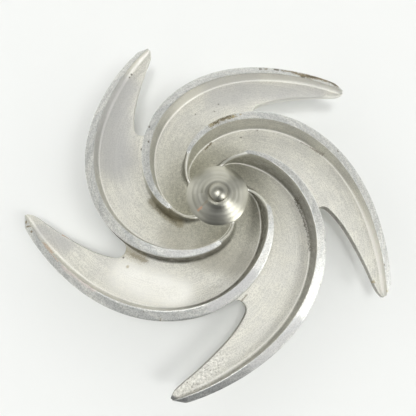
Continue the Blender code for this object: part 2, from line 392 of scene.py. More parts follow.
def root_circle():
    """Centre of the root, the row where it touches the next vane, and where it meets the edge."""
    radii = np.linspace(*EDGE_SEARCH, EDGE_SAMPLES)
    edge = np.array([plate_edge(radius)[:2] for radius in radii])
    low, high = ROW_SEARCH
    for _ in range(HALVINGS):
        row = (low + high) / 2
        foot = turned(bare_foot(row), -SECTOR)[:2]
        ahead = turned(bare_foot(row + NEAR), -SECTOR)[:2]
        along = (ahead - foot) / np.linalg.norm(ahead - foot)
        centre = foot + ROOT_RADIUS * np.array((-along[1], along[0]))
        gaps = np.linalg.norm(edge - centre, axis=1)
        if gaps.min() < ROOT_RADIUS:
            low = row
        else:
            high = row
    return centre, row, radii[gaps.argmin()]


ROOT_CENTRE, ROOT_ROW, EDGE_START = root_circle()
print("the root touches the next vane at", round(ROOT_ROW * 1000, 1), "mm")

# %% [markdown]
# ## Rows of the front
# The rows are spaced evenly along the vane, about a millimetre and a half apart. Inside the
# cut-outs a row runs from one vane to the next. Its part on the plate bends gradually towards the
# shape of the root, so that the last such row lies exactly on it. Outside, a row crosses one arm
# and stops at the free edge.

# %% Spacing of the rows
ROW_STEP = 0.00141
PLATE_COLUMNS = 20
ROOT_COLUMNS = 14
BEND_START = 0.058  # radius from which the rows bend towards the root
PLENTY = 0.055  # room beside a vane where no free edge is near


def row_radii(start, end):
    """Radii from start to end, evenly spaced along the vane."""
    radii = [start]
    while radii[-1] < end:
        radii.append(radii[-1] + ROW_STEP * vane_slant(radii[-1]))
    stretch = (end - start) / (radii[-1] - start)
    return [start + (radius - start) * stretch for radius in radii]


INNER_ROWS = row_radii(NOSE_RADIUS, ROOT_ROW)[:-1]
OUTER_ROWS = row_radii(ROOT_ROW, OUTER_RADIUS - EDGE_BREAK) + [OUTER_RADIUS]
print(len(INNER_ROWS), "rows inside the cut-outs and", len(OUTER_ROWS), "outside")


# %% Points across the plate
def across_plate(start, end, count, radius):
    """Points from a vane's foot to an end point, along an arc about the axis."""
    first_radius, first = polar_of(start)
    last_radius, last = polar_of(end)
    sweep = (first - last) % 360
    points = []
    for i in range(1, count + 1):
        here = first_radius + (last_radius - first_radius) * i / count
        angle = first - sweep * i / count
        behind = (vane_angle(radius) - angle) % 360
        offset = math.radians(behind) * radius * vane_slant(radius)
        fillet = foot_height(radius, offset) - plate_height(radius)
        points.append(polar(here, angle, plate_height(here) + fillet))
    return points


def root_arc(start, end):
    """Points of the root from the free edge round to the next vane, inside its round."""
    first = math.atan2(*(start - ROOT_CENTRE)[::-1])
    last = math.atan2(*(end - ROOT_CENTRE)[::-1])
    sweep = (last - first) % (2 * math.pi)
    points = []
    for i in range(1, ROOT_COLUMNS + 1):
        share = i / ROOT_COLUMNS
        fade = np.clip((share - ARC_FADES) / (1 - ARC_FADES), 0, 1)
        reach = ROOT_RADIUS + EDGE_ROUND * (1 - fade)
        angle = first + sweep * share
        x, y = ROOT_CENTRE + reach * np.array((math.cos(angle), math.sin(angle)))
        points.append(np.array((x, y, plate_height(math.hypot(x, y)))))
    return points


def inside_edge(radius):
    """Where the flat of the plate ends, just inside the free edge."""
    point = plate_edge(radius) + edge_inward(radius) * edge_round(radius)
    point[2] = plate_height(math.hypot(point[0], point[1]))
    return point


# %% All rows of one sector
def edge_radius(radius):
    """Radius at which the row that starts at this radius reaches the free edge."""
    return EDGE_START + (radius - ROOT_ROW) * ((OUTER_RADIUS - EDGE_START) / (OUTER_RADIUS - ROOT_ROW))


def outer_row(radius, edge):
    """A row across one arm."""
    behind = math.radians(vane_angle(radius) - polar_of(edge)[1])
    row = over_vane(radius, 0.0, behind * radius * vane_slant(radius))
    return row + across_plate(row[-1], edge, PLATE_COLUMNS, radius)


def inner_row(radius):
    """A row from one vane to the next."""
    fillet = min(1.0, (ROOT_ROW - radius) / FADE_LENGTH)
    row = over_vane(radius, fillet, PLENTY)
    end = turned(row[0], -SECTOR)
    return row + across_plate(row[-1], end, PLATE_COLUMNS + ROOT_COLUMNS, radius)


def bend_to_root(rows, root):
    """Bends the plate's part of the inner rows towards the root's shape."""
    straight = inner_row(ROOT_ROW)
    pulls = [root[c] - straight[c] for c in range(OVER_VANE, len(straight))]
    for radius, row in zip(INNER_ROWS, rows):
        share = max(0.0, (radius - BEND_START) / (ROOT_ROW - BEND_START)) ** 2
        for c, pull in zip(range(OVER_VANE, len(row)), pulls):
            point = row[c] + pull * share
            point[2] = plate_height(math.hypot(point[0], point[1]))
            row[c] = point


def front_rows():
    """All rows of one sector, from the nose to the tip."""
    rows = [inner_row(radius) for radius in INNER_ROWS]
    outer = [outer_row(radius, inside_edge(edge_radius(radius))) for radius in OUTER_ROWS]
    end = turned(bare_foot(ROOT_ROW), -SECTOR)[:2]
    outer[0] += root_arc(outer[0][-1][:2], end)
    bend_to_root(rows, outer[0])
    for point in outer[-1]:
        point[2] -= EDGE_BREAK
    return rows + outer


ROWS = front_rows()
ROOT = len(INNER_ROWS)
TIP = len(ROWS) - 1
FREE = OVER_VANE - 1 + PLATE_COLUMNS  # column of the free edge
WIDTH = FREE + ROOT_COLUMNS
print("one sector has", sum(len(row) for row in ROWS), "points")

# %% [markdown]
# ## The turned nose
# The nose was turned in a lathe with a coarse feed. That left broad, wavy rings, a groove, and a
# small round boss in the middle. A turned form is simplest as a profile: pairs of radius and
# height that are swept round the axis. The screw or the spin modifier could sweep it too, but its
# first ring has to be the very ring on which the vanes and the plate end.

# %% Profile of the nose
NOSE_TOP = 0.0528
NOSE_POWER = 1.08
BOSS_RADIUS = 0.0060
BOSS_TOP = 0.0533
BOSS_ROUND = 0.0014
GROOVE_RADIUS = 0.0079
GROOVE_HALF = 0.0017
GROOVE_DEPTH = 0.00035
SOFT_JOINT = 0.0004
RING_PITCH = 0.0037
RING_DEPTH = 0.00003
RINGS_FADE = 6  # the waves fade over the last sixth of the radius
NOSE_RINGS = 56


def soft_maximum(first, second, width):
    """The larger of two heights, with the corner between them rounded."""
    return (first + second + math.hypot(first - second, width)) / 2


def nose_height(radius):
    """Height of the turned nose: a cone with shallow waves, a groove and a round boss."""
    edge = plate_height(NOSE_RADIUS)
    share = radius / NOSE_RADIUS
    height = edge + (NOSE_TOP - edge) * (1 - share ** NOSE_POWER)
    wave = RING_DEPTH * math.cos(2 * math.pi * radius / RING_PITCH)
    height += wave * min(1.0, (1 - share) * RINGS_FADE)
    height -= GROOVE_DEPTH * math.exp(-((radius - GROOVE_RADIUS) / GROOVE_HALF) ** 2)
    boss = BOSS_TOP - BOSS_ROUND * (radius / BOSS_RADIUS) ** 2
    return soft_maximum(height, boss, SOFT_JOINT) if radius < GROOVE_RADIUS else height


NOSE_RADII = [NOSE_RADIUS * (1 - i / NOSE_RINGS) for i in range(1, NOSE_RINGS)]
NOSE_PROFILE = [(radius, nose_height(radius)) for radius in NOSE_RADII]
NOSE_RISE = nose_height(0) - plate_height(NOSE_RADIUS)
print("the nose stands", round(NOSE_RISE * 1000, 1), "mm over its edge")

# %% [markdown]
# ## The hub behind
# The hub is not seen from the front. It is the plain round boss that every such impeller needs to
# sit on its shaft: a slight draft, a fillet where it meets the plate, and a blind bore. Its
# corners are broken with small chamfers, each drawn as its own pair of rings.

# %% Profile of the hub and its bore
HUB_RADIUS = 0.0320
HUB_DRAFT = 0.0020  # how much wider the hub is at the plate
HUB_FILLET = 0.0040
HUB_CHAMFER = 0.0015
BORE_RADIUS = 0.0130
BORE_DEPTH = 0.0330
BORE_CHAMFER = 0.0010
BORE_MIDDLE = 0.1  # share of the bore's radius at which its last ring lies
HUB_SIDES = 240


def hub_fillet():
    """The round from the back of the plate to the side of the hub."""
    turns = [math.radians(10 * i) for i in range(1, 10)]
    return [(HUB_RADIUS + HUB_DRAFT + HUB_FILLET * (1 - math.sin(turn)),
             BACK_FACE - HUB_FILLET * (1 - math.cos(turn))) for turn in turns]


def between(first, last, count):
    """Points on the straight line from one profile point to another, without the first."""
    return [tuple(a + (b - a) * i / count for a, b in zip(first, last)) for i in range(1, count + 1)]


def hub_profile():
    """From the back of the plate down the hub, across its face and up the bore."""
    profile = hub_fillet()
    profile += between(profile[-1], (HUB_RADIUS, HUB_CHAMFER), 4)
    profile += [(HUB_RADIUS - HUB_CHAMFER, 0.0)]
    profile += between(profile[-1], (BORE_RADIUS + BORE_CHAMFER, 0.0), 4)
    profile += [(BORE_RADIUS, BORE_CHAMFER)]
    profile += between(profile[-1], (BORE_RADIUS, BORE_DEPTH), 6)
    return profile + between(profile[-1], (BORE_RADIUS * BORE_MIDDLE, BORE_DEPTH), 4)


print("the hub's profile has", len(hub_profile()), "points")

# %% [markdown]
# ## One closed mesh
# All the faces go into one bmesh, because the real thing is one casting. The grid of the front is
# turned five times. A strip with a rounded front and back edge then runs round the outline, and a
# flat many-sided face per arm closes the back.

# %% Rings, columns and finishes
SIDE_DROP = 0.0011  # height of the front's round edge
BACK_ROUND = 0.0009
EVEN_AFTER = 10  # rings after which the points of a turned surface are evenly spaced
ROUND_TURNS = (30, 60, 90)  # degrees round an edge at which there are rings
CORNER_ANGLE = 38  # degrees; only sharper edges are shown as corners
FINISHES = ("cast_skin", "turned_tops", "turned_nose", "turned_hub")
TOP_FIRST = FILLET_STEPS + 1 + WALL_STEPS
TOP_LAST = TOP_FIRST + len(TOP_TURNS) - 1
CREST_FIRST = TOP_FIRST + 5  # from this column to TOP_LAST the cast ridges are worn, and painted lighter as a highlight
print("the top of a vane takes the columns", TOP_FIRST, "to", TOP_LAST)

# %% [markdown]
# ** Dirt, wear and painted light.** While the points are made, each gets three numbers that the
# finishes use later: how much dirt and painted shade, how much painted light and highlight, and how
# much wear with a painted highlight lies there. Dirt and painted shade gather at the feet of the
# vanes and creep up their walls, and they differ from vane to vane. A mask painted by hand could
# say the same, but the rows and columns already know where the feet and the walls are.

# %% Dirt, painted shade and painted light along the vanes
# Vane by vane: dirt and painted shade on the outer side, dirt and painted shade on the inner side,
# and where the inner side has painted light instead. Each is given by where it starts and ends, in
# metres from the axis, and how strong it is.
OUTER_DIRT_AND_SHADE = ((0.020, 0.060, 0.8), (0.040, 0.098, 1.0), (0.020, 0.064, 1.0), (0.020, 0.060, 0.9),
              (0.020, 0.050, 0.6))
INNER_DIRT_AND_SHADE = ((0.050, 0.088, 0.35), (0.020, 0.150, 0.25), (0.020, 0.098, 1.0), (0.026, 0.180, 0.55),
              (0.020, 0.040, 0.1))
INNER_PAINTED_LIGHT = ((0.090, 0.180, 0.9), (0.128, 0.180, 1.0), (0.086, 0.135, 0.35), (0.0, 0.0, 0.0),
              (0.132, 0.180, 1.0))
FADE = 0.016  # length over which dirt and pale metal fade at both ends
FOOT_HIGHLIGHT = 0.6  # strength of the painted highlight along the inner feet
FOOT_HIGHLIGHT_COLUMNS = (1, 2)
# The sides of the arms, vane by vane: dirt with painted shade, and painted light as a highlight.
SIDE_DIRT_AND_SHADE = (0.0, 0.0, 0.3, 0.5, 0.4)
SIDE_PAINTED_LIGHT = (0.9, 0.3, 0.0, 0.0, 0.0)
# Column by column, from a fillet's end up the wall.
OUTER_SHARES = (0.2, 0.45, 0.65, 0.8, 0.9, 1.0, 1.0, 1.0, 0.95, 0.9)
INNER_SHARES = (0.05, 0.1, 0.2, 0.35, 0.6, 0.85, 1.0, 0.9, 0.8, 0.7)
PAINTED_LIGHT_SHARES = (0.0, 0.1, 0.3, 0.6, 0.8, 0.9, 0.9, 0.8, 0.7, 0.6)


def along_vane(radius, start, end, strength):
    """The strength at a radius, fading over a short way at both ends."""
    rising = np.clip((radius - start) / FADE + 0.5, 0, 1)
    falling = np.clip((end - radius) / FADE + 0.5, 0, 1)
    return strength * rising * falling


def dirt_and_shade_at(sector, radius, column):
    """Dirt and painted shade in the corners at the feet of the vanes and on their walls."""
    if column < len(OUTER_SHARES):
        return OUTER_SHARES[column] * along_vane(radius, *OUTER_DIRT_AND_SHADE[sector])
    from_inside = OVER_VANE - 1 - column
    if 0 <= from_inside < len(INNER_SHARES):
        return INNER_SHARES[from_inside] * along_vane(radius, *INNER_DIRT_AND_SHADE[sector])
    return 0.0


def painted_light_at(sector, radius, column):
    """Painted light on the inner walls, and a painted highlight as a thin line along their feet."""
    from_inside = OVER_VANE - 1 - column
    if not 0 <= from_inside < len(PAINTED_LIGHT_SHARES):
        return 0.0
    # the thin line along the foot is a painted highlight
    line = FOOT_HIGHLIGHT if from_inside in FOOT_HIGHLIGHT_COLUMNS else 0.0
    return max(line, PAINTED_LIGHT_SHARES[from_inside] * along_vane(radius, *INNER_PAINTED_LIGHT[sector]))


print("dirt on the first outer wall, 40 mm out:", round(float(dirt_and_shade_at(0, 0.040, TOP_FIRST - 1)), 2))


# %% Collect the points and faces
class Casting:
    """The points and faces of all sectors in one mesh."""

    def __init__(self):
        self.mesh = bmesh.new()
        self.dirt_and_shade = self.mesh.verts.layers.float.new("dirt_and_shade")
        self.crest_wear_and_sheen = self.mesh.verts.layers.float.new("crest_wear_and_sheen")
        # pale: painted light on inner walls and sides, and a painted highlight along the inner feet
        self.pale = self.mesh.verts.layers.float.new("pale")
        self.front = {}
        for sector in range(VANES):
            for j, row in enumerate(ROWS):
                for c, point in enumerate(row[:WIDTH]):
                    vert = self.add(turned(point, TIP_ANGLE + SECTOR * sector))
                    radius = polar_of(point)[0]
                    vert[self.dirt_and_shade] = dirt_and_shade_at(sector, radius, c)
                    vert[self.pale] = painted_light_at(sector, radius, c)
                    # worn cast ridges inside the eye, also painted lighter as a highlight
                    vert[self.crest_wear_and_sheen] = float(CREST_FIRST <= c <= TOP_LAST and radius < EYE_RADIUS)
                    self.front[sector, j, c] = vert

    def add(self, point):
        """A vertex, measured from the frame's origin."""
        return self.mesh.verts.new((point[0] * SHRINK, point[1] * SHRINK, point[2] - CENTRE_HEIGHT))

    def face(self, corners, finish="cast_skin"):
        """A face with its finish."""
        self.mesh.faces.new(corners).material_index = FINISHES.index(finish)

    def at(self, sector, row, column):
        """The last column of a sector is the first of the next one round."""
        if column == WIDTH:
            return self.front[(sector - 1) % VANES, row, 0]
        return self.front[sector, row, column]

    def skin(self):
        """Faces of the front, row by row."""
        for sector in range(VANES):
            for j in range(TIP):
                for c in range(WIDTH if j < ROOT else FREE):
                    top = TOP_FIRST <= c < TOP_LAST and polar_of(ROWS[j + 1][c])[0] > EYE_RADIUS
                    self.face([self.at(sector, j, c), self.at(sector, j, c + 1),
                               self.at(sector, j + 1, c + 1), self.at(sector, j + 1, c)],
                              "turned_tops" if top else "cast_skin")

    def outline(self, sector):
        """Steps round one arm: outer wall, tip, free edge and root."""
        steps = [(sector, j, 0) for j in range(ROOT, TIP)]
        steps += [(sector, TIP, c) for c in range(FREE)]
        steps += [(sector, j, FREE) for j in range(TIP, ROOT, -1)]
        return steps + [(sector, ROOT, c) for c in range(FREE, WIDTH)]


# %% [markdown]
# Each step of the outline needs two more things: the direction that is outwards there, and how
# far the round edge carries it outwards. On the bare outer wall and on the tip the side goes
# straight down, so that distance is nothing. On the free edge and the root it is the radius of
# the round.

# %% Outward direction and width of the round, step by step
def outward(step):
    """How far and which way the round edge goes at a step of the outline, before turning."""
    _, row, column = step
    if row == ROOT and column > FREE:
        away = ROWS[ROOT][column][:2] - ROOT_CENTRE
        reach = np.linalg.norm(away)
        return -away / reach * (reach - ROOT_RADIUS)
    if column == FREE and row < TIP:
        radius = edge_radius(OUTER_ROWS[row - ROOT])
        return -edge_inward(radius)[:2] * edge_round(radius)
    return np.zeros(2)


def plan_normal(before, here, after):
    """Outward unit direction in plan at a corner of the outline, which runs clockwise."""
    along = Vector((after[0] - before[0], after[1] - before[1]))
    along.normalize()
    return np.array((-along.y, along.x))


WIDEST = max(np.linalg.norm(outward((0, ROOT, c))) for c in range(FREE, WIDTH))
print("widest round:", round(WIDEST * 1000, 2), "mm")


# %% The strip round the outline
def side_rings(casting, order):
    """Rings of vertices from the front's outline round to the flat back."""
    spots = [np.array(casting.front[step].co) for step in order]
    turns = [math.radians(TIP_ANGLE + SECTOR * step[0]) for step in order]
    moves = [outward(step) for step in order]
    moves = [np.array((x * math.cos(a) - y * math.sin(a), x * math.sin(a) + y * math.cos(a)))
             for (x, y), a in zip(moves, turns)]
    edges = [spot[:2] + move for spot, move in zip(spots, moves)]
    count = len(order)
    normals = [plan_normal(edges[i - 1], edges[i], edges[(i + 1) % count]) for i in range(count)]
    rings = []
    for degrees in ROUND_TURNS:
        turn = math.radians(degrees)
        rings.append([(*(spot[:2] + move * math.sin(turn)),
                       spot[2] + CENTRE_HEIGHT - SIDE_DROP * (1 - math.cos(turn)))
                      for spot, move in zip(spots, moves)])
    for degrees in (0, *ROUND_TURNS):
        turn = math.radians(degrees)
        rings.append([(*(edge - normal * BACK_ROUND * (1 - math.cos(turn))),
                       BACK_FACE + BACK_ROUND * (1 - math.sin(turn)))
                      for edge, normal in zip(edges, normals)])
    made = [[casting.add(point) for point in ring] for ring in rings]
    for ring in made[:-1]:
        # the sides of the arms get dirt with painted shade, and painted light as a highlight
        for vert, step in zip(ring, order):
            vert[casting.dirt_and_shade] = SIDE_DIRT_AND_SHADE[step[0]]
            vert[casting.pale] = SIDE_PAINTED_LIGHT[step[0]]
    return made


# %% The flat back
def close_back(casting):
    """The strip round the outline and the flat backs of the arms. Returns the hub's first ring."""
    arms = [casting.outline(-sector % VANES) for sector in range(VANES)]
    order = sum(arms, [])
    rings = [[casting.front[step] for step in order]] + side_rings(casting, order)
    for upper, lower in zip(rings, rings[1:]):
        for i in range(len(order)):
            k = (i + 1) % len(order)
            casting.face([upper[i], upper[k], lower[k], lower[i]])
    back = rings[-1]
    radius = HUB_RADIUS + HUB_DRAFT + HUB_FILLET
    first = polar_of(back[0].co)[1]
    hub = [casting.add(polar(radius, first - 360 * i / HUB_SIDES, BACK_FACE))
           for i in range(HUB_SIDES)]
    sides = HUB_SIDES // VANES
    length = len(arms[0])
    for i in range(VANES):
        edge = [back[(i * length + k) % len(back)] for k in range(length + 1)]
        inner = [hub[(i * sides + k) % HUB_SIDES] for k in range(sides + 1)]
        casting.face(edge + inner[::-1])
    return hub


# %% Turned surfaces
def turn_rings(casting, ring, profile, finish):
    """Turned surfaces from a ring inwards, closed at the axis."""
    angles = [polar_of(vert.co)[1] for vert in ring]
    steps = [(here - before + 180) % 360 - 180 for before, here in zip(angles, angles[1:])]
    angles = [angles[0] + sum(steps[:i]) for i in range(len(ring))]
    way = math.copysign(360 / len(ring), sum(steps))
    for number, (radius, height) in enumerate(profile):
        even = min(1.0, (number + 1) / EVEN_AFTER)
        turns = [angle + (angles[0] + way * i - angle) * even for i, angle in enumerate(angles)]
        following = [casting.add(polar(radius, turn, height)) for turn in turns]
        for i in range(len(ring)):
            k = (i + 1) % len(ring)
            casting.face([ring[i], ring[k], following[k], following[i]], finish)
        ring = following
    casting.face(ring, finish)


# %% Make the casting
def nose_ring(casting):
    """The vertices on the nose's edge."""
    return [casting.front[-sector % VANES, 0, c] for sector in range(VANES) for c in range(WIDTH)]


def new_object(name, data):
    """An object in the scene."""
    thing = bpy.data.objects.new(name, data)
    bpy.context.scene.collection.objects.link(thing)
    return thing


def make_casting():
    """The whole impeller as one closed object."""
    casting = Casting()
    casting.skin()
    turn_rings(casting, nose_ring(casting), NOSE_PROFILE, "turned_nose")
    turn_rings(casting, close_back(casting), hub_profile(), "turned_hub")
    bmesh.ops.recalc_face_normals(casting.mesh, faces=casting.mesh.faces[:])
    data = bpy.data.meshes.new("impeller")
    casting.mesh.to_mesh(data)
    casting.mesh.free()
    data.shade_smooth()
    data.set_sharp_from_angle(angle=math.radians(CORNER_ANGLE))
    return new_object("impeller", data)


impeller = make_casting()
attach(impeller, "root")
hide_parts("impeller_casting")
print("the casting has", len(impeller.data.polygons), "faces")

# %% [markdown]
# ## Camera
# The view is from above, a little below the middle and about thirty centimetres away, through a
# wide lens. The place and the turn of the camera were found by matching the tips, the nose and
# the roots. The lens matters as much as the place: from this near, the high inner ends of the
# vanes look larger than the low tips.

# %% Camera
CAMERA_PLACE = (-0.02058, -0.08185, 0.30155)
CAMERA_TURN = (13.793, -2.300, -0.564)  # degrees about X, Y and Z
CAMERA_LENS = 30.44  # mm
SENSOR_WIDTH = 36.0  # mm
NEAREST = 0.01  # nothing nearer to the camera is shown


def place_camera():
    """The camera at the photograph's viewpoint."""
    data = bpy.data.cameras.new("camera")
    data.sensor_width = SENSOR_WIDTH
    data.lens = CAMERA_LENS
    data.clip_start = NEAREST
    camera = new_object("camera", data)
    camera.location = CAMERA_PLACE
    camera.rotation_euler = [math.radians(turn) for turn in CAMERA_TURN]
    bpy.context.scene.camera = camera


place_camera()
print("the camera is", round(math.hypot(*CAMERA_PLACE) * 1000), "mm from the middle of the casting")

# %% [markdown]
# ## Floor and light
# Bare metal shows what stands round it more than it shows its own colour. So the light is built
# like a small studio: a pale floor and a pale low sky that gets darker overhead. In that sky are
# a dim part in front, one bright window on the right, and three lamps high up, which make the
# bright streaks on the turned nose. The sky is a gradient by height with a few soft patches,
# made with nodes. An image of a real room would do the same, but this way every part of it can
# be named and moved.

# %% Floor
FLOOR_HEIGHT = -CENTRE_HEIGHT
FLOOR_SIZE = 3.0
FLOOR_COLOUR = (0.800, 0.812, 0.806, 1.0)
FLOOR_ROUGHNESS = 0.7


def new_material(name, **settings):
    """A material, its node tree and its shader. Underscores stand for spaces."""
    material = bpy.data.materials.new(name)
    material.use_nodes = True
    shader = material.node_tree.nodes["Principled BSDF"]
    for title, value in settings.items():
        shader.inputs[title.replace("_", " ")].default_value = value
    return material, material.node_tree, shader


def make_floor():
    """A plain pale floor, which isn't part of the object."""
    data = bpy.data.meshes.new("floor")
    half = FLOOR_SIZE / 2
    sides = ((-half, -half), (half, -half), (half, half), (-half, half))
    data.from_pydata([(x, y, FLOOR_HEIGHT) for x, y in sides], [], [(0, 1, 2, 3)])
    paint = new_material("floor_paint", Base_Color=FLOOR_COLOUR, Roughness=FLOOR_ROUGHNESS)[0]
    data.materials.append(paint)
    floor = new_object("floor", data)


make_floor()
print("the floor lies at", round(FLOOR_HEIGHT * 1000, 1), "mm")

# %% Helpers for node trees
FLAT = (1.0, 1.0, 0.0)


def add_node(tree, kind, **settings):
    """A node with some of its settings."""
    node = tree.nodes.new(kind)
    for name, value in settings.items():
        setattr(node, name, value)
    return node


def feed(tree, socket, value):
    """Links an output to a socket, or sets the socket to a plain value."""
    if isinstance(value, bpy.types.NodeSocket):
        tree.links.new(value, socket)
    else:
        socket.default_value = value


def feed_all(tree, sockets, values):
    """Feeds the sockets in their order."""
    for socket, value in zip(sockets, values):
        feed(tree, socket, value)


def math_node(tree, operation, *values, clamp=False):
    """One step of arithmetic."""
    node = add_node(tree, "ShaderNodeMath", operation=operation, use_clamp=clamp)
    feed_all(tree, node.inputs, values)
    return node.outputs[0]


def times(tree, *values, clamp=False):
    """One value times another, and plus a third one if there is one."""
    return math_node(tree, "MULTIPLY" if len(values) == 2 else "MULTIPLY_ADD", *values, clamp=clamp)


def vector_node(tree, operation, *values):
    """One step of arithmetic with vectors."""
    node = add_node(tree, "ShaderNodeVectorMath", operation=operation)
    feed_all(tree, [socket for socket in node.inputs if socket.enabled], values)
    return node.outputs["Value" if operation in ("DOT_PRODUCT", "LENGTH") else "Vector"]


def parts_of(tree, vector):
    """The three parts of a vector."""
    node = add_node(tree, "ShaderNodeSeparateXYZ")
    feed(tree, node.inputs[0], vector)
    return node.outputs


def vector_of(tree, *parts):
    """A vector from its parts."""
    node = add_node(tree, "ShaderNodeCombineXYZ")
    feed_all(tree, node.inputs, parts)
    return node.outputs[0]


def in_plan(tree, point):
    """The point seen from above."""
    return vector_node(tree, "MULTIPLY", point, FLAT)


def from_axis(tree, point):
    """Distance of the point from the shaft axis."""
    return vector_node(tree, "LENGTH", in_plan(tree, point))


def ramp(tree, value, start, end, low=0.0, high=1.0):
    """A smooth change from low to high while the value goes from start to end."""
    node = add_node(tree, "ShaderNodeMapRange", interpolation_type="SMOOTHSTEP")
    for name, setting in (("Value", value), ("From Min", start), ("From Max", end),
                          ("To Min", low), ("To Max", high)):
        feed(tree, node.inputs[name], setting)
    return node.outputs["Result"]


def blend(tree, share, first, second, mode="MIX"):
    """A mix of two colours."""
    node = add_node(tree, "ShaderNodeMix", data_type="RGBA", blend_type=mode)
    feed_all(tree, (node.inputs[0], node.inputs[6], node.inputs[7]), (share, first, second))
    return node.outputs[2]


# %% Sky
SKY_LOW = (1.56, 1.56, 1.53, 1.0)
SKY_HIGH = (0.42, 0.42, 0.41, 1.0)
SKY_DARKENS = (0.45, 0.75)  # sines of the elevations between which low turns into high

# Patches of the sky: azimuth and elevation of the middle, where the patch is full and where it
# has gone (all in degrees), and its colour.
SKY_PATCHES = {
    "low_shade": (-80, 46, 24, 41, (0.07, 0.075, 0.085, 1.0)),
    "window": (-28, 50, 8, 13, (7.0, 7.0, 6.85, 1.0)),
    "far_lamp": (73, 82, 3.5, 6.5, (12.0, 12.0, 11.8, 1.0)),
    "left_lamp": (166, 81.5, 4.5, 7.5, (10.0, 10.0, 9.8, 1.0)),
    "near_lamp": (-108, 83, 4, 8, (9.0, 9.0, 8.8, 1.0)),
}


def sky_patch(tree, direction, azimuth, elevation, full, gone):
    """How much a patch of the sky covers a direction."""
    a, e, full, gone = (math.radians(degrees) for degrees in (azimuth, elevation, full, gone))
    way = (math.cos(a) * math.cos(e), math.sin(a) * math.cos(e), math.sin(e))
    nearness = vector_node(tree, "DOT_PRODUCT", direction, way)
    return ramp(tree, nearness, math.cos(gone), math.cos(full))


def make_sky():
    """Soft surroundings: pale low down, darker overhead, with a few patches."""
    world = bpy.data.worlds.new("studio")
    bpy.context.scene.world = world
    world.use_nodes = True
    tree = world.node_tree
    direction = add_node(tree, "ShaderNodeTexCoord").outputs["Generated"]
    height = parts_of(tree, direction)["Z"]
    sky = blend(tree, ramp(tree, height, *SKY_DARKENS), SKY_LOW, SKY_HIGH)
    for *place, colour in SKY_PATCHES.values():
        sky = blend(tree, sky_patch(tree, direction, *place), sky, colour)
    back = tree.nodes["Background"]
    feed(tree, back.inputs["Color"], sky)
    back.inputs["Strength"].default_value = 1.0
    bpy.context.scene.view_settings.view_transform = "Standard"


make_sky()
print("the sky has", len(SKY_PATCHES), "patches")

# %% [markdown]
# ## Shared effects
# All the finishes on this casting are bare steel. They differ in grain, in the marks of the tool
# and in dirt. Each such effect is a node group: a small machine with named inputs and outputs
# that is built once, and then placed in each material with that material's own numbers. The
# alternative, copying the nodes into each material, makes every later change four times the
# work.

# %% Build and place node groups
def make_group(name, vectors, numbers, outputs):
    """An empty node group with its sockets. Returns its tree and its two end nodes."""
    group = bpy.data.node_groups.new(name, "ShaderNodeTree")
    for title in vectors:
        group.interface.new_socket(title, in_out="INPUT", socket_type="NodeSocketVector")
    for title, value in numbers.items():
        socket = group.interface.new_socket(title, in_out="INPUT", socket_type="NodeSocketFloat")
        socket.default_value = value
    for title in outputs:
        group.interface.new_socket(title, in_out="OUTPUT", socket_type="NodeSocketFloat")
    return group, group.nodes.new("NodeGroupInput").outputs, group.nodes.new("NodeGroupOutput").inputs


def place_group(tree, group, **values):
    """The group in a material, with its own values. Underscores stand for spaces."""
    node = add_node(tree, "ShaderNodeGroup", node_tree=group)
    for name, value in values.items():
        feed(tree, node.inputs[name.replace("_", " ")], value)
    return node.outputs


def rough_noise(tree, point, scale, detail, roughness=0.5):
    """Noise with so many lumps per metre; detail and roughness say how fine it gets."""
    node = add_node(tree, "ShaderNodeTexNoise")
    for name, value in (("Vector", point), ("Scale", scale), ("Detail", detail),
                        ("Roughness", roughness)):
        feed(tree, node.inputs[name], value)
    return node.outputs["Fac"]


def grain(tree, point, size, detail=2.0, roughness=0.5):
    """Noise whose lumps are about the given size in metres."""
    return rough_noise(tree, point, 1 / size, detail, roughness)


# %% [markdown]
# **Cast grain.** Molten steel takes the texture of the sand it was poured in, and shot blasting
# afterwards dulls it. So there is a fine grain of about a millimetre, broader unevenness of a few
# millimetres, and here and there a pinhole. Flow and rubbing have also left faint streaks that
# run along the vanes. They are noise that is read in the vanes' own direction: across a vane it
# changes fast, and along it slowly. The group puts out one height for the bump and three tones
# for the colour.

# %% Cast grain
VANE_TURNS = 22.3  # radians by which a vane turns back per metre outwards
ACROSS = 0.05  # metres across a vane per radian of turn
BROAD_LUMPS, BROAD_DEPTH = 0.0034, 1.6  # size, and depth against the fine grain's
CLOUDS, CLOUD_STREAKS, CLOUD_SHARE = 0.015, (0.006, 0.030), 0.7
RUBBING, RUBBING_SHARE = (0.0009, 0.008), 0.28
HOLES_PER_METRE, HOLE_EDGE = 260.0, (0.16, 0.06)  # the edge in shares of their spacing
HOLE_CLOUDS, HOLE_LIMITS = 0.009, (0.56, 0.66)  # pinholes come in clouds
# Values of the noise between which a tone goes from nothing to full.
MOTTLE_LIMITS, TONE_LIMITS = (0.36, 0.64), (0.34, 0.66)
SPECKLE_LIMITS, SPECKLE_STRENGTH = (0.55, 0.75), 0.6


def streaks(tree, point, width, length):
    """Noise in streaks along the vanes, of about the given width and length in metres."""
    x, y, z = parts_of(tree, point)
    radius = from_axis(tree, point)
    turn = times(tree, radius, VANE_TURNS, math_node(tree, "ARCTAN2", y, x))
    across = [times(tree, math_node(tree, kind, turn), ACROSS / width) for kind in ("COSINE", "SINE")]
    along = times(tree, radius, 1 / length, math_node(tree, "DIVIDE", z, width))
    return grain(tree, vector_of(tree, *across, along), 1.0, 2.0, 0.6)


